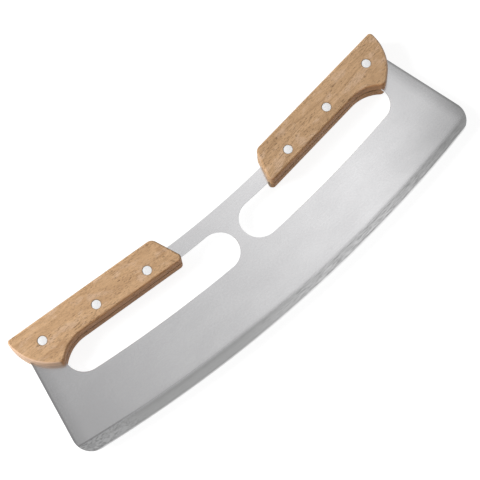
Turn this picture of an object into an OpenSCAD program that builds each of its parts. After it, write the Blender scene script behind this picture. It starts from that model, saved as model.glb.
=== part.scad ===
// Rocking pizza knife: one steel plate with two finger windows, two wooden
// scales on each grip and three two-piece rivets through each grip.
// Millimetres. X runs along the blade, Y from the cutting edge to the grips,
// Z through the plate. The rear scales lie flat on Z = 0.

/* [Blade] */
// overall length of the blade
blade_length = 350; // [335:5:380]
// thickness of the plate
plate_thickness = 1.5; // [1.2:0.1:2.5]
// radius of the curved cutting edge
edge_radius = 956; // [860:4:1100]
// lean of the two ends of the blade
end_slant = 12; // [9:0.5:14]
// radius of the two lower corners
corner_radius = 14; // [10:0.5:18]
// width of the ground band along the cutting edge
bevel_width = 9; // [6:0.5:12]
// thickness of the blade where the ground band meets the sharpened edge
shoulder_thickness = 0.5; // [0.35:0.05:0.8]
// width of the sharpened edge
sharp_width = 0.8; // [0.5:0.1:1.5]
// thickness left at the very edge
edge_land = 0.12; // [0.08:0.02:0.2]

/* [Finger windows and bow] */
// width of each window, which has round ends
window_width = 28.2; // [26:0.2:29]
// height of the windows' middle line above the cutting edge
window_height = 62.3; // [58:0.1:68]
// width of the post between the windows
post_width = 8; // [6:0.5:14]
// plate left between a window and the end of the blade
window_margin = 30.6; // [30:0.2:33]
// height of the bow's middle above the windows' middle line
bow_rise = 25.5; // [23.5:0.1:27.5]
// radius of the hollow top of the bow
bow_radius = 650; // [560:10:800]

/* [Grips] */
// height above the windows' middle line at which the finger edges would cross the middle
grip_lift = 7.7; // [7.2:0.1:8.7]
// rise of the grips towards the ends of the blade
grip_tilt = 5.4; // [5:0.1:5.8]
// height of a grip across its length
grip_height = 24; // [22:0.5:27]
// distance of a grip's inner lower corner from the middle
grip_start = 39.2; // [37:0.1:45]
// lean of a grip's inner end
inner_lean = 24; // [18:1:30]
// distance from the end of the blade to the centre of a grip's outer arc
outer_inset = 43.5; // [42.5:0.1:44.5]
// radius of a grip's outer arc
outer_radius = 36.9; // [36:0.1:37.6]
// distance from the outer arc's centre back to the start of the finger hollow
hollow_setback = 8; // [6:0.5:10]
// radius of the finger hollow
hollow_radius = 27.5; // [24:0.5:31]
// thickness of one wooden scale
scale_thickness = 8.5; // [7:0.25:10]
// depth of the plate's edge behind the edges of the scales
tang_setback = 0.2; // [0.1:0.1:0.6]
// round of the top inner corner
inner_top_round = 5.5; // [4:0.5:8]
// round of the lower inner corner
inner_low_round = 3; // [2.5:0.5:4]
// round of the top outer corner
outer_top_round = 2.5; // [2.2:0.1:3.5]
// round of the heel
heel_round = 4.2; // [3.4:0.1:5]

/* [Rivets] */
// distance from a grip's inner corner to its first rivet
inner_rivet = 25.7; // [21:0.1:29]
// distance from a grip's outer end back to its middle rivet
middle_rivet = 62.7; // [58:0.1:68]
// distance from a grip's outer end back to its outer rivet
outer_rivet = 19.9; // [17:0.1:23]
// height of the first rivet above the finger edge
rivet_height = 7.4; // [6.8:0.1:9]
// extra height of the outer rivet over the first
rivet_rise = 2.5; // [1.5:0.1:4]
// diameter of a rivet head
head_diameter = 6.4; // [5.4:0.1:7]
// height of a rivet head
head_height = 1.6; // [1.2:0.1:2.4]
// bulge of a rivet head
head_crown = 0.25; // [0.1:0.05:0.4]
// depth of the bulge below the wood
head_sink = 0.05; // [0:0.05:0.3]
// gap round a rivet head
head_gap = 0.15; // [0.1:0.05:0.25]
// diameter of the hollow half of a rivet
tube_diameter = 4.2; // [3.8:0.1:4.8]
// diameter of the solid half of a rivet
pin_diameter = 2.8; // [2.2:0.1:3.2]
// gap round the shanks
shank_gap = 0.05; // [0.03:0.01:0.1]

/* [Hidden] */
$fn = 96;
// each round stands this much over the lines it joins, so that they cross cleanly
lap = 0.01;
half = blade_length / 2;
grip_thickness = 2 * scale_thickness + plate_thickness;
plate_z = grip_thickness / 2;

corner_x = half - corner_radius;
corner_y = edge_radius - sqrt(pow(edge_radius - corner_radius, 2) - pow(corner_x, 2));
corner_turn = atan2(corner_y - edge_radius, corner_x);

window_round = window_width / 2;
window_sweep = edge_radius - window_height;
bow_height = window_height + bow_rise;
grip_base = window_height + grip_lift;
window_inner = asin((post_width / 2 + window_round) / window_sweep);
window_outer = asin((half - window_margin - window_round) / window_sweep);

arc_centre = [half - outer_inset, grip_height];
hollow_centre = [half - outer_inset - hollow_setback, -hollow_radius];
top_reach = outer_radius - outer_top_round;
top_centre = arc_centre + [sqrt(pow(top_reach, 2) - pow(outer_top_round, 2)), -outer_top_round];
top_turn = -asin(outer_top_round / top_reach);

heel_reach = outer_radius - heel_round;
heel_rest = hollow_radius + heel_round;
heel_span = norm(hollow_centre - arc_centre);
heel_along = (pow(heel_reach, 2) - pow(heel_rest, 2) + pow(heel_span, 2)) / (2 * heel_span);
heel_across = sqrt(pow(heel_reach, 2) - pow(heel_along, 2));
heel_way = (hollow_centre - arc_centre) / heel_span;
heel_centre = arc_centre + heel_along * heel_way + heel_across * [-heel_way[1], heel_way[0]];
heel_turn = atan2(heel_centre[1] - arc_centre[1], heel_centre[0] - arc_centre[0]);
hollow_turn = atan2(heel_centre[1] - hollow_centre[1], heel_centre[0] - hollow_centre[0]);

low_centre = [grip_start + inner_low_round / tan((90 - inner_lean) / 2), inner_low_round];
high_centre = [grip_start + grip_height * tan(inner_lean) + inner_top_round / tan((90 + inner_lean) / 2),
               grip_height - inner_top_round];
inner_turn = 180 - inner_lean;

overall_height = grip_base + top_centre[0] * sin(grip_tilt) + top_centre[1] * cos(grip_tilt) + outer_top_round;

grip_end = arc_centre[0] + outer_radius;
inner_place = grip_start + inner_rivet;
middle_place = grip_end - middle_rivet;
outer_place = grip_end - outer_rivet;
rivet_slope = rivet_rise / (outer_place - inner_place);
rivet_places = [inner_place, middle_place, outer_place];
head_depth = head_sink + head_height;
shank_length = grip_thickness - 2 * head_depth;
shank_root = 0.4;
shank_play = 0.2;
bore_diameter = tube_diameter + 2 * shank_gap;

corner_side = [corner_x, corner_y] + corner_radius * aim(end_slant);
corner_low = [corner_x, corner_y] + corner_radius * aim(corner_turn);
side_rise = overall_height - 10 - corner_side[1];
plate_side = [[corner_low[0], -2],
              corner_low,
              corner_side,
              corner_side + side_rise * [-tan(end_slant), 1],
              grip_point([arc_centre[0], grip_height - 2]),
              grip_point(high_centre + [2, inner_top_round - 2])];

steel_colour = [0.78, 0.78, 0.79];
wood_colour = [0.74, 0.58, 0.42];
rivet_colour = [0.86, 0.86, 0.87];

function aim(turn) = [cos(turn), sin(turn)];

// A point of the right grip's own drawing, in the drawing of the plate.
function grip_point(p) = [p[0] * cos(grip_tilt) - p[1] * sin(grip_tilt),
                          grip_base + p[0] * sin(grip_tilt) + p[1] * cos(grip_tilt)];

function flip(p) = [-p[0], p[1]];

function rivet_at(along) = [along, rivet_height + rivet_slope * (along - inner_place)];

// A grip is drawn level, with its finger edge on the X axis, and set on the
// blade at its tilt. Side is -1 for the left grip and 1 for the right one.
module on_grip(side) {
    translate([0, -overall_height / 2, 0])
    on_side(side)
    translate([0, grip_base, 0])
    rotate([0, 0, grip_tilt])
    children();
}

module on_side(side) {
    if (side < 0) {
        mirror([1, 0, 0])
        children();
    } else {
        children();
    }
}

// Outline of a grip, smaller by the inset all round: a level bar with a round
// outer end, a finger hollow before the heel and four small round corners.
module grip_outline(inset) {
    upper_arc = arc_centre + (outer_radius - inset) * aim(top_turn);
    lower_arc = arc_centre + (outer_radius - inset) * aim(heel_turn);
    union() {
        difference() {
            union() {
                polygon([low_centre + (inner_low_round - inset) * aim(-90),
                         [hollow_centre[0], inset],
                         hollow_centre + (hollow_radius + inset) * aim(hollow_turn),
                         lower_arc,
                         upper_arc,
                         top_centre + (outer_top_round - inset) * aim(90),
                         high_centre + (inner_top_round - inset) * aim(90),
                         high_centre + (inner_top_round - inset) * aim(inner_turn),
                         low_centre + (inner_low_round - inset) * aim(inner_turn)]);
                intersection() {
                    translate(arc_centre)
                    circle(r = outer_radius - inset);
                    polygon([[arc_centre[0], grip_height / 2],
                             lower_arc,
                             arc_centre + 1.5 * outer_radius * aim(heel_turn),
                             arc_centre + 1.5 * outer_radius * aim((heel_turn + top_turn) / 2),
                             arc_centre + 1.5 * outer_radius * aim(top_turn),
                             upper_arc]);
                }
            }
            translate(hollow_centre)
            circle(r = hollow_radius + inset + lap);
        }
        translate(low_centre)
        circle(r = inner_low_round - inset + lap);
        translate(high_centre)
        circle(r = inner_top_round - inset + lap);
        translate(top_centre)
        circle(r = outer_top_round - inset + lap);
        translate(heel_centre)
        circle(r = heel_round - inset + lap);
    }
}

// One scale before its bores, with its plate side down.
module scale_blank() {
    linear_extrude(height = scale_thickness)
    grip_outline(0);
}

// Shank bores and head recesses of one scale.
module rivet_bores() {
    for (along = rivet_places) {
        translate(rivet_at(along)) {
            translate([0, 0, -1])
            cylinder(d = bore_diameter, h = scale_thickness + 2);
            translate([0, 0, scale_thickness - head_depth])
            cylinder(d = head_diameter + 2 * head_gap, h = head_depth + 1);
        }
    }
}

module front_scale() {
    translate([0, 0, plate_z + plate_thickness / 2])
    difference() {
        scale_blank();
        rivet_bores();
    }
}

module rear_scale() {
    translate([0, 0, scale_thickness])
    mirror([0, 0, 1])
    difference() {
        scale_blank();
        rivet_bores();
    }
}

// Head of a rivet, with its slightly bulged face down.
module rivet_head() {
    bulge = (pow(head_diameter / 2, 2) + pow(head_crown, 2)) / (2 * head_crown);
    intersection() {
        translate([0, 0, head_sink])
        cylinder(d = head_diameter, h = head_height);
        translate([0, 0, head_sink + bulge])
        sphere(r = bulge, $fn = 256);
    }
}

// The hollow half, with its head at the rear.
module rivet_tube(along) {
    translate(rivet_at(along))
    difference() {
        union() {
            rivet_head();
            translate([0, 0, head_depth - shank_root])
            cylinder(d = tube_diameter, h = shank_length + shank_root - shank_play);
        }
        translate([0, 0, head_depth])
        cylinder(d = pin_diameter + 2 * shank_gap, h = grip_thickness);
    }
}

// The solid half, with its head at the front and its shank inside the tube.
module rivet_pin(along) {
    translate(rivet_at(along))
    translate([0, 0, grip_thickness])
    mirror([0, 0, 1])
    union() {
        rivet_head();
        translate([0, 0, head_depth - shank_root])
        cylinder(d = pin_diameter, h = shank_length + shank_root - 2 * shank_play);
    }
}

// Right window: a slot with round ends, bent round the centre of the cutting edge.
module window_shape() {
    union() {
        intersection() {
            translate([0, edge_radius])
            difference() {
                circle(r = window_sweep + window_round, $fn = 720);
                circle(r = window_sweep - window_round, $fn = 720);
            }
            polygon([[0, edge_radius],
                     [0, edge_radius] + 1.2 * edge_radius * aim(window_inner - 90),
                     [0, edge_radius] + 1.2 * edge_radius * aim(window_outer - 90)]);
        }
        translate([0, edge_radius] + window_sweep * aim(window_inner - 90))
        circle(r = window_round + lap);
        translate([0, edge_radius] + window_sweep * aim(window_outer - 90))
        circle(r = window_round + lap);
    }
}

// The plate before its windows: a tapered bar between the cutting edge and the
// bow, two round lower corners, and a tang that fills each grip.
module plate_outline() {
    union() {
        difference() {
            intersection() {
                translate([0, edge_radius])
                circle(r = edge_radius, $fn = 720);
                polygon(concat(plate_side, [for (i = [len(plate_side) - 1:-1:0]) flip(plate_side[i])]));
            }
            translate([0, bow_height + bow_radius])
            circle(r = bow_radius, $fn = 720);
        }
        for (side = [-1, 1]) {
            on_side(side)
            plate_end();
        }
    }
}

module plate_end() {
    intersection() {
        translate([corner_x, corner_y])
        circle(r = corner_radius + lap);
        translate([corner_x, corner_y - 2 * corner_radius])
        square(4 * corner_radius);
    }
    translate([0, grip_base])
    rotate(grip_tilt)
    grip_outline(tang_setback);
}

// The grinding thins the plate towards the cutting edge on both sides.
module grinding() {
    run_out = (bevel_width - sharp_width) * plate_thickness / (plate_thickness - shoulder_thickness);
    tip = sharp_width * edge_land / (shoulder_thickness - edge_land);
    translate([0, edge_radius, 0])
    rotate_extrude($fn = 720)
    polygon([[edge_radius / 2, -plate_thickness],
             [edge_radius - bevel_width - run_out, -plate_thickness],
             [edge_radius - sharp_width, -shoulder_thickness / 2],
             [edge_radius + tip, 0],
             [edge_radius - sharp_width, shoulder_thickness / 2],
             [edge_radius - bevel_width - run_out, plate_thickness],
             [edge_radius / 2, plate_thickness]]);
}

module blade() {
    color(steel_colour)
    translate([0, -overall_height / 2, plate_z])
    difference() {
        intersection() {
            translate([0, 0, -plate_thickness / 2])
            linear_extrude(height = plate_thickness)
            difference() {
                plate_outline();
                window_shape();
                mirror([1, 0])
                window_shape();
            }
            grinding();
        }
        for (side = [-1, 1]) {
            on_side(side)
            translate([0, grip_base, 0])
            rotate([0, 0, grip_tilt])
            tang_bores();
        }
    }
}

module tang_bores() {
    for (along = rivet_places) {
        translate(rivet_at(along))
        translate([0, 0, -plate_thickness])
        cylinder(d = bore_diameter, h = 2 * plate_thickness);
    }
}

module left_front_scale() {
    color(wood_colour)
    on_grip(-1)
    front_scale();
}

module left_rear_scale() {
    color(wood_colour)
    on_grip(-1)
    rear_scale();
}

module right_front_scale() {
    color(wood_colour)
    on_grip(1)
    front_scale();
}

module right_rear_scale() {
    color(wood_colour)
    on_grip(1)
    rear_scale();
}

module left_inner_rivet_pin() {
    color(rivet_colour)
    on_grip(-1)
    rivet_pin(inner_place);
}

module left_inner_rivet_tube() {
    color(rivet_colour)
    on_grip(-1)
    rivet_tube(inner_place);
}

module left_middle_rivet_pin() {
    color(rivet_colour)
    on_grip(-1)
    rivet_pin(middle_place);
}

module left_middle_rivet_tube() {
    color(rivet_colour)
    on_grip(-1)
    rivet_tube(middle_place);
}

module left_outer_rivet_pin() {
    color(rivet_colour)
    on_grip(-1)
    rivet_pin(outer_place);
}

module left_outer_rivet_tube() {
    color(rivet_colour)
    on_grip(-1)
    rivet_tube(outer_place);
}

module right_inner_rivet_pin() {
    color(rivet_colour)
    on_grip(1)
    rivet_pin(inner_place);
}

module right_inner_rivet_tube() {
    color(rivet_colour)
    on_grip(1)
    rivet_tube(inner_place);
}

module right_middle_rivet_pin() {
    color(rivet_colour)
    on_grip(1)
    rivet_pin(middle_place);
}

module right_middle_rivet_tube() {
    color(rivet_colour)
    on_grip(1)
    rivet_tube(middle_place);
}

module right_outer_rivet_pin() {
    color(rivet_colour)
    on_grip(1)
    rivet_pin(outer_place);
}

module right_outer_rivet_tube() {
    color(rivet_colour)
    on_grip(1)
    rivet_tube(outer_place);
}

blade();
left_front_scale();
left_rear_scale();
right_front_scale();
right_rear_scale();
left_inner_rivet_pin();
left_inner_rivet_tube();
left_middle_rivet_pin();
left_middle_rivet_tube();
left_outer_rivet_pin();
left_outer_rivet_tube();
right_inner_rivet_pin();
right_inner_rivet_tube();
right_middle_rivet_pin();
right_middle_rivet_tube();
right_outer_rivet_pin();
right_outer_rivet_tube();
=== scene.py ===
import math

import bpy
import numpy as np
from mathutils.geometry import delaunay_2d_cdt
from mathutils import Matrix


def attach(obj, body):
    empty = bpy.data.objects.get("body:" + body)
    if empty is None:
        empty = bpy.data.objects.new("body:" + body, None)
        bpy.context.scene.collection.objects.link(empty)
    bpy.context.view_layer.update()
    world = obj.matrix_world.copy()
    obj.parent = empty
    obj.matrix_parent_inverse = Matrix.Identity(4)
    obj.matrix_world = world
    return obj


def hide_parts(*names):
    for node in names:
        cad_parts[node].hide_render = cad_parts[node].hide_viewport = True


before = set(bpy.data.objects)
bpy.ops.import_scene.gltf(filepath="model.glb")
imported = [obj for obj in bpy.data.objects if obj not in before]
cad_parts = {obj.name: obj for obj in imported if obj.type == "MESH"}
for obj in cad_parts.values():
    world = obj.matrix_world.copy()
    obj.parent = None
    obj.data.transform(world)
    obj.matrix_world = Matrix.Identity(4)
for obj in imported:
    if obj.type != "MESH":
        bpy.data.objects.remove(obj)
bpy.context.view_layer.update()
print("frame loaded,", len(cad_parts), "nodes")

# Lengths are in millimetres in the dictionaries and become metres in makeObject.
mm = 0.001

plate = {
    "length": 350, "thickness": 1.5, "edgeRadius": 956, "endSlant": 12, "cornerRadius": 14,
    "bowHeight": 87.8, "bowRadius": 650, "bandWidth": 9, "shoulder": 0.5, "sharpWidth": 0.8,
    "edgeLand": 0.12, "windowWidth": 28.2, "windowHeight": 62.3, "post": 8, "windowMargin": 30.6,
    "brokenEdge": 0.12,
    # the bow and the slanted ends run into the tangs, to this x and to this far below the top
    "bowReach": 120, "endDrop": 10,
}
grip = {
    "base": 70, "tilt": 5.4, "height": 24, "start": 39.2, "lean": 24, "outerInset": 43.5,
    "outerRadius": 36.9, "hollowSetback": 8, "hollowRadius": 27.5, "thickness": 8.5, "setback": 0.2,
    "topRound": 5.5, "lowRound": 3, "outerRound": 2.5, "heelRound": 4.2, "faceRound": 1.5,
    "backEdge": 0.08,
}
rivet = {
    "inner": 25.7, "middle": 62.7, "outer": 19.9, "height": 7.4, "rise": 2.5, "head": 6.4,
    "headHeight": 1.6, "crown": 0.25, "sink": 0.05, "gap": 0.15, "tube": 4.2, "pin": 2.8,
    "shankGap": 0.05, "play": 0.2, "pinTaper": 0.2, "rim": 0.12, "recessRim": 0.06, "sides": 64,
}

half = plate["length"] / 2
plateMid = grip["thickness"] + plate["thickness"] / 2
fullThickness = 2 * plateMid


# Points on a circle between two angles in degrees, with the outward normal of each;
# in a hollow the normals point to the centre.
def arc(centre, radius, start, stop, step=0.35, hollow=False):
    count = max(4, int(abs(math.radians(stop - start)) * radius / step) + 1)
    turn = np.radians(np.linspace(start, stop, count))
    way = np.stack([np.cos(turn), np.sin(turn)], axis=1)
    return np.array(centre) + radius * way, -way if hollow else way


# Points between two ends, both left out, with the normal on the right of the way from a to b.
def line(a, b, step=2.0):
    a, b = np.array(a), np.array(b)
    way = b - a
    length = np.hypot(*way)
    along = np.linspace(0, 1, max(3, int(length / step) + 2))[1:-1, None]
    normal = np.array([way[1], -way[0]]) / length
    return a + along * way, np.repeat(normal[None], len(along), axis=0)


# Coordinates are kept to 1/1024 mm, which single precision holds exactly, so that loops
# still match after the triangulation.
def snap(points):
    return np.round(points * 1024) / 1024


# Joins stretches of outline and drops a point that repeats the one before it.
def chain(*stretches):
    points = np.vstack([s[0] for s in stretches])
    normals = np.vstack([s[1] for s in stretches])
    gap = np.hypot(*(points - np.roll(points, 1, axis=0)).T)
    return points[gap > 0.01], normals[gap > 0.01]


# Outline of a grip in its own level drawing, anticlockwise from the lower inner corner: finger
# edge, hollow, heel, outer arc, top and inner end, each round tangent to its neighbours.
def gripOutline():
    low, high = grip["lowRound"], grip["topRound"]
    outer, heel = grip["outerRound"], grip["heelRound"]
    lean, reach = math.radians(grip["lean"]), grip["outerRadius"]
    arcCentre = np.array([half - grip["outerInset"], grip["height"]])
    hollowCentre = arcCentre - [grip["hollowSetback"], grip["height"] + grip["hollowRadius"]]
    topCentre = arcCentre + [math.sqrt((reach - outer) ** 2 - outer ** 2), -outer]
    topTurn = -math.degrees(math.asin(outer / (reach - outer)))
    span = np.hypot(*(hollowCentre - arcCentre))
    along = ((reach - heel) ** 2 - (grip["hollowRadius"] + heel) ** 2 + span ** 2) / (2 * span)
    across = math.sqrt((reach - heel) ** 2 - along ** 2)
    way = (hollowCentre - arcCentre) / span
    heelCentre = arcCentre + along * way + across * np.array([-way[1], way[0]])
    heelTurn = math.degrees(math.atan2(*(heelCentre - arcCentre)[::-1]))
    hollowTurn = math.degrees(math.atan2(*(heelCentre - hollowCentre)[::-1]))
    lowCentre = np.array([grip["start"] + low / math.tan(math.radians(45) - lean / 2), low])
    highCentre = np.array([grip["start"] + grip["height"] * math.tan(lean)
                           + high / math.tan(math.radians(45) + lean / 2), grip["height"] - high])
    innerTurn = 180 - grip["lean"]
    lowArc = arc(lowCentre, low, innerTurn, 270, 0.2)
    hollowArc = arc(hollowCentre, grip["hollowRadius"], 90, hollowTurn, 0.4, hollow=True)
    heelArc = arc(heelCentre, heel, hollowTurn - 180, heelTurn, 0.2)
    outerArc = arc(arcCentre, reach, heelTurn, topTurn, 0.5)
    topArc = arc(topCentre, outer, topTurn, 90, 0.2)
    highArc = arc(highCentre, high, 90, innerTurn, 0.25)
    return chain(lowArc, line(lowArc[0][-1], hollowArc[0][0]), hollowArc, heelArc, outerArc, topArc,
                 line(topArc[0][-1], highArc[0][0]), highArc, line(highArc[0][-1], lowArc[0][0]))


gripPoints, gripNormals = gripOutline()
tilt = math.radians(grip["tilt"])
tiltTurn = np.array([[math.cos(tilt), math.sin(tilt)], [-math.sin(tilt), math.cos(tilt)]])
gripEnd = half - grip["outerInset"] + grip["outerRadius"]
overallHeight = grip["base"] + (gripPoints @ tiltTurn)[:, 1].max()
edgeCentreY = plate["edgeRadius"] - overallHeight / 2


# From a grip's level drawing to the right grip's place on the knife.
def onKnife(points):
    return snap(points @ tiltTurn + [0, grip["base"] - overallHeight / 2])


# Centre of the right lower corner's round, which touches the cutting edge's arc from inside.
def cornerCentre():
    x = half - plate["cornerRadius"]
    return x, edgeCentreY - math.sqrt((plate["edgeRadius"] - plate["cornerRadius"]) ** 2 - x ** 2)


rivetAlong = {"inner": grip["start"] + rivet["inner"], "middle": gripEnd - rivet["middle"],
              "outer": gripEnd - rivet["outer"]}
slope = rivet["rise"] / (rivetAlong["outer"] - rivetAlong["inner"])
rivetSpot = {name: onKnife(np.array([[u, rivet["height"] + slope * (u - rivetAlong["inner"])]]))[0]
             for name, u in rivetAlong.items()}


# Even-odd rule: a point is inside when an odd number of the loop's edges lie on its right.
def inside(points, loop):
    x, y = points[:, :1], points[:, 1:]
    ax, ay = loop[:, 0], loop[:, 1]
    bx, by = np.roll(ax, -1), np.roll(ay, -1)
    reach = ax + (y - ay) * (bx - ax) / np.where(by == ay, 1, by - ay)
    return (((ay > y) != (by > y)) & (x < reach)).sum(axis=1) % 2 == 1


# Flat triangles, anticlockwise, that fill the solid loops less the open ones. Guides are open
# lines that the triangles' edges follow.
def fill(solid, openings, guides=()):
    loops = [*solid, *openings]
    points = np.vstack([*loops, *guides])
    edges, start = [], 0
    for part in [*loops, *guides]:
        i = np.arange(len(part))
        pairs = np.stack([i, (i + 1) % len(part)], axis=1) + start
        edges.append(pairs if start < sum(map(len, loops)) else pairs[:-1])
        start += len(part)
    edges = np.vstack(edges)
    made = delaunay_2d_cdt(points.tolist(), edges.tolist(), [], 0, 1e-5)
    flat = np.array([tuple(v) for v in made[0]])
    faces = np.array(made[2])
    a, b, c = (flat[faces[:, k]] for k in range(3))
    area = (b[:, 0] - a[:, 0]) * (c[:, 1] - a[:, 1]) - (b[:, 1] - a[:, 1]) * (c[:, 0] - a[:, 0])
    faces[area < 0] = faces[area < 0][:, ::-1]
    centre = (a + b + c) / 3
    keep = np.any([inside(centre, loop) for loop in solid], axis=0)
    if len(openings):
        keep &= ~np.any([inside(centre, loop) for loop in openings], axis=0)
    return flat, faces[keep & (abs(area) > 1e-7)]


# Triangles between rings of points, each ring joined to the next one.
def loft(rings):
    count, around = len(rings), len(rings[0])
    grid = np.arange(count * around).reshape(count, around)
    a, b = grid[:-1], np.roll(grid, -1, axis=1)[:-1]
    c, d = np.roll(grid, -1, axis=1)[1:], grid[1:]
    halves = [np.stack(corners, axis=-1).reshape(-1, 3) for corners in ((a, b, c), (a, c, d))]
    return np.vstack(rings), np.vstack(halves)


def atHeight(points, height):
    return np.column_stack([points, np.broadcast_to(height, len(points))])


# Several (vertices, faces, flat shaded) parts as one.
def join(parts):
    verts, faces, flat, start = [], [], [], 0
    for v, f, isFlat in parts:
        verts.append(v)
        faces.append(f + start)
        flat.append(np.full(len(f), isFlat))
        start += len(v)
    return np.vstack(verts), np.vstack(faces), np.concatenate(flat)


# Mirrored across the plate or across the middle of the knife; an odd number of mirrors turns
# the faces round, so they are turned back.
def mirrored(shape, acrossX=False, acrossZ=False):
    verts, faces, flat = shape
    verts = verts.copy()
    if acrossX:
        verts[:, 0] *= -1
    if acrossZ:
        verts[:, 2] = fullThickness - verts[:, 2]
    return verts, faces[:, ::-1] if acrossX != acrossZ else faces, flat


# Merges the points that coincide, so the shell is closed, and makes the object in metres.
def makeObject(name, shape, material, node, sharpAngle=28):
    verts, faces, flat = shape
    used = np.round(verts[faces.ravel()], 5)
    merged, back = np.unique(used, axis=0, return_inverse=True)
    faces = back.reshape(-1, 3)
    whole = (faces[:, 0] != faces[:, 1]) & (faces[:, 1] != faces[:, 2]) & (faces[:, 2] != faces[:, 0])
    mesh = bpy.data.meshes.new(name)
    mesh.from_pydata((merged * mm).tolist(), [], faces[whole].tolist())
    mesh.polygons.foreach_set("use_smooth", ~flat[whole])
    mesh.set_sharp_from_angle(angle=math.radians(sharpAngle))
    mesh.materials.append(material)
    obj = bpy.data.objects.new(name, mesh)
    bpy.context.scene.collection.objects.link(obj)
    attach(obj, "root")
    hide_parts(node)
    return obj


# A value in a material's node tree. Arithmetic on it adds Math nodes, and make adds any other node.
class Wire:
    def __init__(self, tree, socket=None):
        self.tree, self.socket = tree, socket

    def make(self, kind, settings={}, inputs={}, out=0):
        node = self.tree.nodes.new(kind)
        for name, value in settings.items():
            if name == "stops":
                while len(node.color_ramp.elements) < len(value):
                    node.color_ramp.elements.new(1)
                node.color_ramp.interpolation = "B_SPLINE"
                for stop, (place, colour) in zip(node.color_ramp.elements, value):
                    stop.position, stop.color = place, colour
            else:
                setattr(node, name, value)
        for name, value in inputs.items():
            if isinstance(value, Wire):
                self.tree.links.new(value.socket, node.inputs[name])
            else:
                node.inputs[name].default_value = value
        return Wire(self.tree, node.outputs[out])

    def math(self, operation, *values):
        return self.make("ShaderNodeMath", {"operation": operation}, dict(enumerate(values)))

    def __add__(self, other):
        return self.math("ADD", self, other)

    def __sub__(self, other):
        return self.math("SUBTRACT", self, other)

    def __rsub__(self, other):
        return self.math("SUBTRACT", other, self)

    def __mul__(self, other):
        return self.math("MULTIPLY", self, other)

    def __truediv__(self, other):
        return self.math("DIVIDE", self, other)

    def __pow__(self, other):
        return self.math("POWER", self, other)

    __radd__, __rmul__ = __add__, __mul__

    # 0 below low, 1 above high, smooth between
    def rise(self, low, high):
        return self.make("ShaderNodeMapRange", {"interpolation_type": "SMOOTHSTEP"},
                         {"Value": self, "From Min": low, "From Max": high})

    def noise(self, vector, detail=2.0, roughness=0.5, distortion=0.0):
        return self.make("ShaderNodeTexNoise", {},
                         {"Vector": vector, "Scale": 1.0, "Detail": detail, "Roughness": roughness,
                          "Distortion": distortion})

    def vector(self, x, y, z):
        return self.make("ShaderNodeCombineXYZ", {}, {"X": x, "Y": y, "Z": z})

    def blend(self, factor, a, b, mode="MIX"):
        return self.make("ShaderNodeMix", {"data_type": "RGBA", "blend_type": mode},
                         {0: factor, 6: a, 7: b}, out=2)

    # A smooth curve through stops of (position, level)
    def ramp(self, place, stops):
        greys = [(position, (level, level, level, 1)) for position, level in stops]
        return self.make("ShaderNodeValToRGB", {"stops": greys}, {"Fac": place})

    # The three coordinates in millimetres, turned about the plate's normal and shifted.
    def coordinates(self, turn=0.0, shift=(0.0, 0.0, 0.0)):
        place = self.make("ShaderNodeTexCoord", out=3)
        moved = self.make("ShaderNodeMapping", {}, {"Vector": place, "Scale": (1000, 1000, 1000),
                                                    "Rotation": (0, 0, turn), "Location": shift})
        node = moved.make("ShaderNodeSeparateXYZ", {}, {"Vector": moved}).socket.node
        return [Wire(self.tree, socket) for socket in node.outputs]


def newMaterial(name, **constants):
    material = bpy.data.materials.new(name)
    material.use_nodes = True
    shader = material.node_tree.nodes["Principled BSDF"]
    for socket, value in constants.items():
        shader.inputs[socket].default_value = value
    return material, Wire(material.node_tree), shader


# Links values to the shader's sockets, and a height in millimetres through a Bump node.
def finishMaterial(wire, shader, links, height=None, strength=1.0):
    for socket, value in links.items():
        wire.tree.links.new(value.socket, shader.inputs[socket])
    if height is not None:
        bump = wire.make("ShaderNodeBump", {}, {"Strength": strength, "Distance": mm, "Height": height})
        wire.tree.links.new(bump.socket, shader.inputs["Normal"])


steelLook = {
    "colour": (0.802, 0.798, 0.806, 1), "dull": (0.70, 0.695, 0.706, 1), "dark": (0.26, 0.26, 0.26, 1),
    "band": (0.52, 0.52, 0.52, 1), "bright": (0.95, 0.95, 0.95, 1), "scratch": (0.20, 0.20, 0.20, 1),
    "ground": (0.60, 0.60, 0.605, 1), "roughness": 0.14,
    "brushLength": 22.0, "brushWidth": 0.2,
    # stretches along the blade over which the finish, the painted shade and the painted light change,
    # from the middle at 0
    "leftEnd": (-158, -118), "middle": (-60, 40), "rightEnd": (80, 165),
    # how far the ground band's blurred border of painted shade lies nearer the edge in the middle and on
    # the right
    "middleShift": 1.4, "rightShift": 0.7,
}
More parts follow.
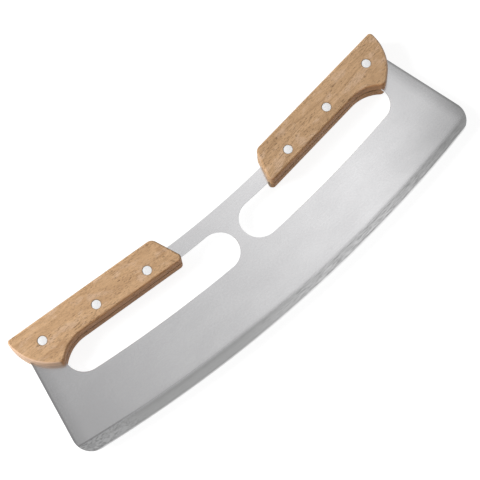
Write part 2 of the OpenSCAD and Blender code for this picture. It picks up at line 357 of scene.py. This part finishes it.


# Satin steel, brushed along the blade, with painted shade darkening it towards its two ends and
# into its lower right corner; the ground band has lines that follow the cutting edge, painted light in
# its middle, a darker blurred upper border of painted shade, and a painted highlight on the sharpened
# edge.
def steelMaterial():
    material, wire, shader = newMaterial("brushedSteel", Metallic=1.0)
    x, y, z = wire.coordinates()
    radius, down = plate["edgeRadius"], edgeCentreY - y
    fromEdge = radius - (x * x + down * down) ** 0.5
    turn = wire.math("ARCTAN2", x, down) * radius
    slant, (cornerX, cornerY) = math.radians(plate["endSlant"]), cornerCentre()
    endLine = cornerX * math.cos(slant) + cornerY * math.sin(slant) + plate["cornerRadius"]
    fromEnd = endLine - wire.math("ABSOLUTE", x) * math.cos(slant) - y * math.sin(slant)
    length, width = steelLook["brushLength"], steelLook["brushWidth"]
    brush = wire.noise(wire.vector(x / length, y / width, z * 0.2), 3.0, 0.6)
    longBrush = wire.noise(wire.vector(x / 90, y / 0.9, z * 0.2), 2.0, 0.5)
    grain = wire.noise(wire.vector(x / 1.6, y / 1.1, z * 0.2), 3.0, 0.7)
    smudge = wire.noise(wire.vector(x / 34, y / 20, z * 0.2), 4.0, 0.55)
    lines = wire.noise(wire.vector(turn / 40, fromEdge / 0.3, z * 0.2), 2.0, 0.6)
    streaks = wire.noise(wire.vector(turn / 8, fromEdge / 0.45, z * 0.2), 3.0, 0.75)
    waves = wire.noise(wire.vector(turn / 6, fromEdge / 1.6, z * 0.2), 2.0, 0.5, 2.5)

    leftEnd = 1 - x.rise(*steelLook["leftEnd"])
    rightEnd = x.rise(*steelLook["rightEnd"])
    middle = x.rise(*steelLook["middle"])
    narrow = fromEdge + middle * steelLook["middleShift"] + rightEnd * steelLook["rightShift"]
    band = 1 - narrow.rise(plate["bandWidth"] - 2.2, plate["bandWidth"] + 0.8)
    leftBand = 1 - fromEdge.rise(plate["bandWidth"] - 0.4, plate["bandWidth"] + 0.1)
    # painted shade: a darker blurred border along the top of the ground band, weaker in the middle and
    # none at the left end
    border = narrow.rise(4.5, 7.2) * (1 - narrow.rise(7.8, 11.5))
    border = border * (1 - leftEnd) * (1 - middle * 0.6 + rightEnd * 0.6)
    # a thin dark line along the top of the ground band, on the left end only
    bandTopLine = fromEdge.rise(8.3, 9.0) * (1 - fromEdge.rise(9.1, 10.2)) * leftEnd
    sharp = 1 - fromEdge.rise(plate["sharpWidth"] - 0.1, plate["sharpWidth"] + 0.1)
    # a streaky dark strip just above the sharpened edge
    stripAboveSharp = fromEdge.rise(0.8, 1.1) * (1 - fromEdge.rise(1.3, 1.8))

    dulled = smudge.rise(0.3, 0.7) * 0.35 + brush.rise(0.3, 0.7) * 0.14 + grain.rise(0.35, 0.65) * 0.36
    colour = wire.blend(dulled, steelLook["colour"], steelLook["dull"])
    # painted shade darkening the plate towards both slanted ends, most on the right, and into the lower
    # right corner
    endShade = (1 - fromEnd.rise(0, 13)) * (0.18 + rightEnd * 0.26 + leftEnd * 0.06) * (0.7 + grain * 0.6)
    cornerShade = rightEnd * (1 - fromEdge.rise(6, 40)) * (0.2 + smudge * 0.3)
    colour = wire.blend(endShade + cornerShade, colour, steelLook["dark"])
    # painted shade: a thin dark line along each end's edge
    endEdgeShade = (1 - fromEnd.rise(0.2, 2.4)) * (0.5 + rightEnd * 0.25)
    colour = wire.blend(endEdgeShade, colour, steelLook["dark"])
    # painted light brightening the ground band in the middle
    lit = middle * (1 - rightEnd) * (1 - narrow.rise(1.5, 8) * 0.2)
    banded = wire.blend(lit * 0.85, steelLook["band"], steelLook["colour"])
    banded = wire.blend(streaks.rise(0.47, 0.6) * (0.1 + middle * 0.5) + lines * 0.12, banded,
                        steelLook["scratch"])
    scratched = wire.blend(waves.rise(0.5, 0.6) * (1 - waves.rise(0.6, 0.7)) * 0.7 + streaks * 0.2,
                           steelLook["ground"], steelLook["scratch"])
    # painted shade darkening the ground band at the right end
    banded = wire.blend(rightEnd * (0.25 + streaks * 0.3), banded, steelLook["dark"])
    colour = wire.blend(band, colour, banded)
    colour = wire.blend(leftBand * leftEnd, colour, scratched)
    colour = wire.blend(border * (0.14 + streaks * 0.2) + bandTopLine * 0.55, colour, steelLook["dark"])
    colour = wire.blend(stripAboveSharp * streaks * 0.5, colour, steelLook["dark"])
    # painted highlight along the sharpened edge, strongest in the middle
    colour = wire.blend(sharp * (0.42 + middle * 0.4), colour, steelLook["bright"])
    roughness = steelLook["roughness"] + brush * 0.08 + smudge * 0.06
    roughness = roughness + band * (0.1 + lines * 0.12) - sharp * 0.08
    height = brush * 0.0006 + longBrush * 0.0005 + grain * 0.001
    height = height + (lines * 0.012 + streaks * 0.01) * band
    finishMaterial(wire, shader, {"Base Color": colour, "Roughness": roughness}, height, 0.6)
    return material


woodLook = {
    "leftFront": {"light": (0.70, 0.45, 0.25), "dark": (0.36, 0.20, 0.095), "shift": (37, 11, 5)},
    "leftRear": {"light": (0.69, 0.44, 0.25), "dark": (0.36, 0.20, 0.095), "shift": (310, 64, 41)},
    "rightFront": {"light": (0.68, 0.435, 0.24), "dark": (0.34, 0.195, 0.094), "shift": (-215, 83, 23)},
    "rightRear": {"light": (0.68, 0.44, 0.24), "dark": (0.34, 0.195, 0.095), "shift": (-460, 29, 67)},
}
# the wood's finish, and the colours of its painted shade and painted light
woodFinishAndPaintedLight = {"gloss": 0.25, "ringSpacing": 6.5, "pale": (0.72, 0.51, 0.36, 1),
              "fingerEdgeShade": (1.06, 0.84, 0.66, 1), "outerEndLight": (0.86, 0.60, 0.44, 1),
              "outerEndLightShare": 0.6, "poreDepth": 0.42, "gapShadeDepth": 0.35}


# Oiled hardwood with its grain along the grip: broad wavy growth bands, fine fibres, pale
# patches and short dark pores, all solid patterns, so that the ends show end grain. Painted
# shade darkens a thin ring round each rivet, where the gap round its head lies, and the walls
# that face the finger edge, and painted light makes the grip's outer end paler.
def woodMaterial(name, look, side):
    material, wire, shader = newMaterial(name)
    shader.inputs["Specular IOR Level"].default_value = woodFinishAndPaintedLight["gloss"]
    u, v, w = wire.coordinates(-side * tilt, look["shift"])
    x, y, z = wire.coordinates()
    wander = wire.noise(wire.vector(u / 55, v / 22, w / 22), 2.0, 0.45)
    bent = v + (wander - 0.5) * 26
    bands = wire.noise(wire.vector(u / 120, bent / 3.0, w / 4.2), 2.0, 0.55)
    rings = wire.math("FRACT", (bent + w * 0.35) / woodFinishAndPaintedLight["ringSpacing"])
    late = rings.rise(0.62, 0.97) * (1 - rings.rise(0.97, 1.0))
    fibre = wire.noise(wire.vector(u / 9, v / 0.4, w / 0.4), 3.0, 0.6)
    pores = wire.noise(wire.vector(u / 3.4, v / 0.62, w / 0.62), 1.0, 0.5)
    finePores = wire.noise(wire.vector(u / 1.7, v / 0.3, w / 0.3), 1.0, 0.5)
    patches = wire.noise(wire.vector(u / 24, v / 9, w / 9), 2.0, 0.5)
    pore = pores.rise(0.585, 0.68) * (0.35 + patches.rise(0.4, 0.6) * 0.65)
    tone = bands.rise(0.3, 0.75) * 0.29 + fibre.rise(0.3, 0.75) * 0.28 + late * 0.21 + patches * 0.24
    colour = wire.blend(tone, look["light"] + (1,), look["dark"] + (1,))
    mottle = wire.noise(wire.vector(u / 13, v / 6, w / 6), 3.0, 0.55)
    colour = wire.blend(mottle.rise(0.5, 0.66) * 0.38, colour, woodFinishAndPaintedLight["pale"])
    colour = wire.blend(pore * 0.62 + finePores.rise(0.58, 0.7) * 0.52, colour,
                        tuple(c * woodFinishAndPaintedLight["poreDepth"] for c in look["dark"]) + (1,))
    fingers, outerEnd = (wire.make("ShaderNodeAttribute", {"attribute_name": mark}, out=2)
                         for mark in ("facesFingers", "facesOuterEnd"))
    # painted shade: the walls that face the finger edge made darker and redder
    colour = wire.blend(fingers.rise(0.25, 0.85), colour, woodFinishAndPaintedLight["fingerEdgeShade"], "MULTIPLY")
    # painted light: the outer end's walls made paler
    colour = wire.blend(outerEnd * woodFinishAndPaintedLight["outerEndLightShare"], colour, woodFinishAndPaintedLight["outerEndLight"])
    # painted shade in a thin ring round each rivet's head, where the gap round it lies
    gapShade = 0
    for spot in rivetSpot.values():
        across, along = x - side * spot[0], y - spot[1]
        away = (across * across + along * along) ** 0.5 - rivet["head"] / 2 - rivet["gap"]
        gapShade = (1 - away.rise(0.05, 0.75)) + gapShade
    colour = wire.blend(gapShade * 0.36, colour,
                        tuple(c * woodFinishAndPaintedLight["gapShadeDepth"] for c in look["dark"]) + (1,))
    roughness = 0.5 + fibre * 0.12 + pore * 0.15
    height = fibre * 0.05 - pore * 0.1 + bands * 0.04
    finishMaterial(wire, shader, {"Base Color": colour, "Roughness": roughness}, height, 0.7)
    return material


rivetLook = {"colour": (0.96, 0.96, 0.96, 1), "worn": (0.78, 0.78, 0.785, 1), "roughness": 0.36,
             "metal": 0.45, "sandingTurn": 35}


# Satin aluminium with faint sanding lines in one direction and small dull spots. Its
# finest scratches spread light as paint does, so it isn't fully metallic.
def rivetMaterial():
    material, wire, shader = newMaterial("satinRivet", Metallic=rivetLook["metal"])
    x, y, z = wire.coordinates(math.radians(rivetLook["sandingTurn"]))
    sanding = wire.noise(wire.vector(x / 5, y / 0.12, z / 3), 2.0, 0.6)
    spots = wire.noise(wire.vector(x / 1.1, y / 1.1, z / 1.1), 3.0, 0.6)
    colour = wire.blend(sanding.rise(0.35, 0.75) * 0.35 + spots.rise(0.45, 0.8) * 0.5,
                        rivetLook["colour"], rivetLook["worn"])
    roughness = rivetLook["roughness"] + sanding * 0.1 + spots * 0.1
    finishMaterial(wire, shader, {"Base Color": colour, "Roughness": roughness}, sanding * 0.006, 0.5)
    return material


# Half thickness of the plate at a distance from the cutting edge: a sharpened edge, a ground
# band, then the full plate, joined by straight lines.
def halfThickness(points):
    fromEdge = plate["edgeRadius"] - np.hypot(points[:, 0], points[:, 1] - edgeCentreY)
    return np.interp(fromEdge, [0, plate["sharpWidth"], plate["bandWidth"]],
                     [plate["edgeLand"] / 2, plate["shoulder"] / 2, plate["thickness"] / 2])


# The plate: its outline and the two tangs, less the windows, filled on both sides at
# the height that halfThickness gives, with a small chamfer and a wall round every boundary.
def plateShape():
    centre, radius = np.array([0, edgeCentreY]), plate["edgeRadius"]
    cornerX, cornerY = cornerCentre()
    cornerTurn = math.degrees(math.atan2(cornerY - edgeCentreY, cornerX))
    edge = arc(centre, radius, -180 - cornerTurn, cornerTurn, 1.5)[0]
    corner = arc((cornerX, cornerY), plate["cornerRadius"], cornerTurn, plate["endSlant"], 0.3)[0]
    sideRise = overallHeight / 2 - plate["endDrop"] - corner[-1][1]
    sideTop = corner[-1] + sideRise * np.array([-math.tan(math.radians(plate["endSlant"])), 1])
    bowCentre = np.array([0, plate["bowHeight"] + plate["bowRadius"] - overallHeight / 2])
    bowEnd = math.degrees(math.asin(plate["bowReach"] / plate["bowRadius"]))
    bow = arc(bowCentre, plate["bowRadius"], bowEnd - 90, -bowEnd - 90, 1.5)[0]
    flip = np.array([-1, 1])
    outline = snap(np.vstack([edge, corner[1:], line(corner[-1], sideTop)[0], sideTop[None], bow,
                              sideTop[None] * flip, line(sideTop * flip, corner[-1] * flip)[0],
                              (corner[1:] * flip)[::-1]]))
    tang = onKnife(gripPoints - grip["setback"] * gripNormals)
    sweep, ring = radius - plate["windowHeight"], plate["windowWidth"] / 2
    turns = [math.degrees(math.asin((plate["post"] / 2 + ring) / sweep)),
             math.degrees(math.asin((half - plate["windowMargin"] - ring) / sweep))]
    ends = [centre + sweep * np.array([math.sin(math.radians(t)), -math.cos(math.radians(t))])
            for t in turns]
    window = snap(np.vstack([arc(centre, sweep + ring, turns[0] - 90, turns[1] - 90, 1.0)[0],
                             arc(ends[1], ring, turns[1] - 90, turns[1] + 90, 0.3)[0][1:],
                             arc(centre, sweep - ring, turns[1] - 90, turns[0] - 90, 1.0)[0][1:],
                             arc(ends[0], ring, turns[0] + 90, turns[0] + 270, 0.3)[0][1:-1]]))
    bores = [snap(arc(spot, rivet["tube"] / 2 + rivet["shankGap"], 0, 352.5, 0.28)[0])
             for spot in rivetSpot.values()]
    openings = [window, window * flip, *bores, *[bore * flip for bore in bores]]
    folds = [snap(arc(centre, radius - plate[name], -102, -78, 1.5)[0])
             for name in ("bandWidth", "sharpWidth")]
    flat, faces = fill([outline, tang, tang * flip], openings, folds)
    # boundary edges are the ones with a triangle on one side only
    edges = np.vstack([faces[:, [0, 1]], faces[:, [1, 2]], faces[:, [2, 0]]])
    code = edges[:, 0] * len(flat) + edges[:, 1]
    rim = edges[~np.isin(code, edges[:, 1] * len(flat) + edges[:, 0])]
    way = flat[rim[:, 1]] - flat[rim[:, 0]]
    out = np.stack([way[:, 1], -way[:, 0]], axis=1) / np.hypot(*way.T)[:, None]
    normal = np.zeros_like(flat)
    np.add.at(normal, rim[:, 0], out)
    np.add.at(normal, rim[:, 1], out)
    onRim = np.hypot(*normal.T) > 0
    normal[onRim] /= np.hypot(*normal[onRim].T)[:, None]
    inner = flat - plate["brokenEdge"] * normal
    tall, short = halfThickness(inner), halfThickness(flat)
    short = np.maximum(short - plate["brokenEdge"], short / 2)
    levels = [atHeight(inner, plateMid + tall), atHeight(flat, plateMid + short),
              atHeight(flat, plateMid - short), atHeight(inner, plateMid - tall)]
    parts = [(levels[0], faces, True), (levels[3], faces[:, ::-1], True)]
    for upper, lower in zip(levels, levels[1:]):
        a, b = rim[:, 0], rim[:, 1]
        quads = np.stack([a + len(flat), b + len(flat), b, a], axis=1)
        halves = np.vstack([quads[:, [0, 1, 2]], quads[:, [0, 2, 3]]])
        parts.append((np.vstack([upper, lower]), halves, False))
    return join(parts)


# Rings of points on circles round a rivet's axis, one for each radius.
def circles(spot, radii):
    turns = np.linspace(0, 2 * math.pi, rivet["sides"] + 1)[:-1]
    way = np.stack([np.cos(turns), np.sin(turns)], axis=1)
    return [spot + radius * way for radius in radii]


# The right front scale: the outline lofted up from the plate with a rounded upper edge, filled
# on both faces, and three bores whose rings step in from the head's recess to the shank.
def scaleShape():
    low, high, bend = fullThickness - grip["thickness"], fullThickness, grip["faceRound"]
    turn = np.radians(np.linspace(0, 90, 10))
    edge = grip["backEdge"]
    insets = [edge, 0, 0, *(bend * (1 - np.cos(turn))), bend + 0.25]
    heights = [low, low + edge, (low + high) / 2, *(high - bend + bend * np.sin(turn)), high]
    outline = [onKnife(gripPoints - inset * gripNormals) for inset in insets]
    parts = [(*loft([atHeight(o, h) for o, h in zip(outline, heights)]), False)]
    depth, wide = rivet["sink"] + rivet["headHeight"], rivet["head"] / 2 + rivet["gap"]
    narrow, rim = rivet["tube"] / 2 + rivet["shankGap"], rivet["recessRim"]
    radii = [wide + rim, wide, wide, narrow, narrow]
    levels = [high, high - rim, high - depth, high - depth, low]
    upper, lower = [], []
    for spot in rivetSpot.values():
        rings = [snap(ring) for ring in circles(spot, radii)]
        parts.append((*loft([atHeight(ring, level) for ring, level in zip(rings, levels)]), False))
        upper.append(rings[0])
        lower.append(rings[-1])
    flat, faces = fill([outline[-1]], upper)
    parts.append((atHeight(flat, high), faces, True))
    flat, faces = fill([outline[0]], lower)
    parts.append((atHeight(flat, low), faces[:, ::-1], True))
    return join(parts)


# A shape turned on a lathe about the rivet's axis: rings of one profile of (radius, height),
# from the middle of the head to the middle of the shank's end.
def turned(spot, profile):
    radii, heights = zip(*profile)
    verts, faces = loft([atHeight(ring, height) for ring, height in zip(circles(spot, radii), heights)])
    return verts, faces[:, ::-1], np.zeros(len(faces), bool)


# The head's bulged face and broken rim, drawn head up with its top at height 0.
def headProfile():
    radius, crown, rim = rivet["head"] / 2, rivet["crown"], rivet["rim"]
    bulge = (radius ** 2 + crown ** 2) / (2 * crown)
    across = np.linspace(0, radius - rim, 10)
    dome = [(r, math.sqrt(bulge ** 2 - r ** 2) - bulge) for r in across]
    edge = [(radius - rim * (1 - math.sin(t)), dome[-1][1] - rim * (1 - math.cos(t)))
            for t in np.radians([30, 60, 90])]
    return [*dome, *edge, (radius, -rivet["headHeight"])]


# The solid half with its head up, and the hollow half with its head down.
def rivetShapes(spot):
    top = fullThickness - rivet["sink"]
    under = top - rivet["headHeight"]
    head = [(r, top + h) for r, h in headProfile()]
    pin, tube, play = rivet["pin"] / 2, rivet["tube"] / 2, rivet["play"]
    hollow, otherHead = pin + rivet["shankGap"], fullThickness - under
    solidHalf = [*head, (pin, under), (pin, otherHead + 2.5 * play),
                 (pin - rivet["pinTaper"], otherHead + 2 * play), (0, otherHead + 2 * play)]
    hollowHalf = [*head, (tube, under), (tube, otherHead + play),
                  (hollow, otherHead + play), (hollow, under), (0, under)]
    return turned(spot, solidHalf), mirrored(turned(spot, hollowHalf), acrossZ=True)


steel, satin = steelMaterial(), rivetMaterial()
makeObject("steelPlate", plateShape(), steel, "blade")
print("plate made")


# The outward parts of a normal between which the fingers' mark falls to nothing and the outer
# end's mark grows to full, and how many head widths round each rivet have no mark.
wallMark = {"fingers": (0.15, 0.45), "outerEnd": (0.2, 0.5), "clearHeads": 0.6}


# How far each vertex faces the fingers, or past the heel the outer end, kept on the mesh for the
# painted shade and the painted light on the wood there. The rivets' bores have neither.
def markWalls(mesh, side):
    normals, places = np.empty((2, len(mesh.vertices) * 3), np.float32)
    mesh.vertices.foreach_get("normal", normals)
    mesh.vertices.foreach_get("co", places)
    outward, x, y = normals[::3] * side, places[::3] * side / mm, places[1::3] / mm
    fingers = -normals[1::3] * np.interp(outward, wallMark["fingers"], [1, 0])
    outerEnd = np.interp(outward, wallMark["outerEnd"], [0, 1])
    nearest = np.min([np.hypot(x - spot[0], y - spot[1]) for spot in rivetSpot.values()], axis=0)
    for name, values in (("facesFingers", fingers), ("facesOuterEnd", outerEnd)):
        kept = values * (nearest > rivet["head"] * wallMark["clearHeads"])
        mesh.attributes.new(name, "FLOAT", "POINT").data.foreach_set("value", kept)


scale = scaleShape()
for sideName, side in (("left", -1), ("right", 1)):
    for faceName in ("Front", "Rear"):
        key = sideName + faceName
        wood = woodMaterial(key + "Wood", woodLook[key], side)
        obj = makeObject(key + "Wood", mirrored(scale, side < 0, faceName == "Rear"), wood,
                         f"{sideName}_{faceName.lower()}_scale")
        markWalls(obj.data, side)
    for place, spot in rivetSpot.items():
        for partName, shape in zip(("pin", "tube"), rivetShapes(spot)):
            name = sideName + place.capitalize() + partName.capitalize()
            makeObject(name, mirrored(shape, side < 0), satin,
                       f"{sideName}_{place}_rivet_{partName}")
print("grips and rivets made")

# Places and sizes are in metres, the lamp's power in watts, the camera's turn in degrees.
studio = {
    "ambient": 0.36, "floorColour": 0.3, "floorGlow": 0.86, "floorSize": 6.0, "floorHeight": -0.0003,
    "keyPlace": (-1.35, 0.85, 1.15), "keySize": 0.9, "keyPower": 42.0,
    "cardPlace": (0.3, 0.35, 1.6), "cardSize": 1.6, "cardWander": 0.12,
    "toneStart": -1.0, "toneSpan": 2.4,
    # share of the way along that span from left to right, and of the card's full level there
    "cardStops": ((0.0, 0.35), (0.27, 0.20), (0.361, 0.25), (0.406, 0.37), (0.44, 0.415),
                  (0.48, 0.405), (0.517, 0.50), (0.562, 0.57), (0.607, 0.66), (0.65, 0.76), (0.673, 0.74),
                  (0.696, 0.49), (0.73, 0.27), (0.8, 0.34), (1.0, 0.5)),
    "cardLevel": 1.6, "domeRadius": 2.9, "domeLow": 0.34, "domeHigh": 1.0, "domeLeft": 0.2,
    "lens": 116.374, "sensor": 36, "cameraPlace": (-0.18637, -0.26480, 1.01025),
    "cameraTurn": (17.9089, 2.4440, -41.8552),
}


# Camera rays, and the rays that metal and glass send out.
def seenDirectly(wire):
    path = wire.make("ShaderNodeLightPath").socket.node
    camera, glossy, through = (Wire(wire.tree, path.outputs[name])
                               for name in ("Is Camera Ray", "Is Glossy Ray", "Is Transmission Ray"))
    return wire.math("MAXIMUM", wire.math("MAXIMUM", camera, glossy), through)


def makeWorld():
    world = bpy.data.worlds.new("studioWorld")
    bpy.context.scene.world = world
    world.use_nodes = True
    wire = Wire(world.node_tree)
    seen = seenDirectly(wire)
    back = world.node_tree.nodes["Background"]
    back.inputs["Color"].default_value = (1, 1, 1, 1)
    strength = studio["ambient"] + seen * (1 - studio["ambient"])
    world.node_tree.links.new(strength.socket, back.inputs["Strength"])


def stageObject(name, verts, faces, material):
    mesh = bpy.data.meshes.new(name)
    mesh.from_pydata(verts, [], faces)
    mesh.materials.append(material)
    obj = bpy.data.objects.new(name, mesh)
    bpy.context.scene.collection.objects.link(obj)
    return obj


def square(size, x, y, z):
    left, right, near, far = x - size / 2, x + size / 2, y - size / 2, y + size / 2
    return [(left, near, z), (right, near, z), (right, far, z), (left, far, z)], [(0, 1, 2, 3)]


# A grey floor that takes the shadow. Its glow, which only the camera and metal see, makes it white.
def makeFloor():
    material, wire, shader = newMaterial("studioFloor", Roughness=1.0)
    shader.inputs["Base Color"].default_value = (studio["floorColour"],) * 3 + (1,)
    shader.inputs["Specular IOR Level"].default_value = 0
    shader.inputs["Emission Color"].default_value = (1, 1, 1, 1)
    glow = seenDirectly(wire) * studio["floorGlow"]
    wire.tree.links.new(glow.socket, shader.inputs["Emission Strength"])
    stageObject("floor", *square(studio["floorSize"], 0, 0, studio["floorHeight"]), material)


# A surface that only reflections see, so that the metal shows light and dark tones.
def reflector(name, verts, faces, tone):
    material = bpy.data.materials.new(name)
    material.use_nodes = True
    tree = material.node_tree
    tree.nodes.clear()
    wire = Wire(tree)
    colour, level = tone(wire, *wire.coordinates())
    glow = wire.make("ShaderNodeEmission", {}, {"Color": colour, "Strength": level})
    output = tree.nodes.new("ShaderNodeOutputMaterial")
    tree.links.new(glow.socket, output.inputs["Surface"])
    obj = stageObject(name, verts, faces, material)
    obj.visible_camera = obj.visible_diffuse = obj.visible_shadow = obj.visible_transmission = False


# The card overhead, graded from left to right with cloudy borders.
def cardTone(wire, x, y, z):
    cloud = wire.noise(wire.vector(x / 260, y / 260, 0.0), 3.0, 0.5)
    across = x * mm + (cloud - 0.5) * studio["cardWander"] - studio["toneStart"]
    return wire.ramp(across / studio["toneSpan"], studio["cardStops"]), studio["cardLevel"]


# The dome round everything, dim at the horizon, bright overhead and a little brighter on the left.
def domeTone(wire, x, y, z):
    up, left = z * mm / studio["domeRadius"], x * -mm / studio["domeRadius"]
    level = up.rise(-0.1, 1.0) * (studio["domeHigh"] - studio["domeLow"]) + studio["domeLow"]
    return wire.blend(level * (1 + left * studio["domeLeft"]), (0, 0, 0, 1), (1, 1, 1, 1)), 1.0


# A half sphere: rings of points from just under the horizon up to the top.
def domeShape():
    turn = np.radians(np.arange(0, 360, 6))
    rise = np.radians(np.arange(-3, 91, 3.1))
    ring = np.stack([np.cos(turn), np.sin(turn)], axis=1)
    verts, faces = loft([studio["domeRadius"] * atHeight(math.cos(r) * ring, math.sin(r)) for r in rise])
    return verts.tolist(), faces.tolist()


# One soft lamp from the left and behind. Metal doesn't mirror it, because it would burn out there.
def makeLamp():
    data = bpy.data.lights.new("keyLamp", "AREA")
    data.shape, data.size, data.energy = "SQUARE", studio["keySize"], studio["keyPower"]
    lamp = bpy.data.objects.new("keyLamp", data)
    lamp.location = studio["keyPlace"]
    lamp.rotation_euler = (-lamp.location).to_track_quat("-Z", "Y").to_euler()
    lamp.visible_glossy = False
    bpy.context.scene.collection.objects.link(lamp)


def makeCamera():
    data = bpy.data.cameras.new("camera")
    data.lens, data.sensor_width = studio["lens"], studio["sensor"]
    camera = bpy.data.objects.new("camera", data)
    camera.location = studio["cameraPlace"]
    camera.rotation_euler = [math.radians(angle) for angle in studio["cameraTurn"]]
    bpy.context.scene.collection.objects.link(camera)
    bpy.context.scene.camera = camera


makeWorld()
makeFloor()
reflector("gradedCard", *square(studio["cardSize"], *studio["cardPlace"]), cardTone)
reflector("dome", *domeShape(), domeTone)
makeLamp()
makeCamera()
bpy.context.scene.view_settings.view_transform = "Standard"
print("studio ready")
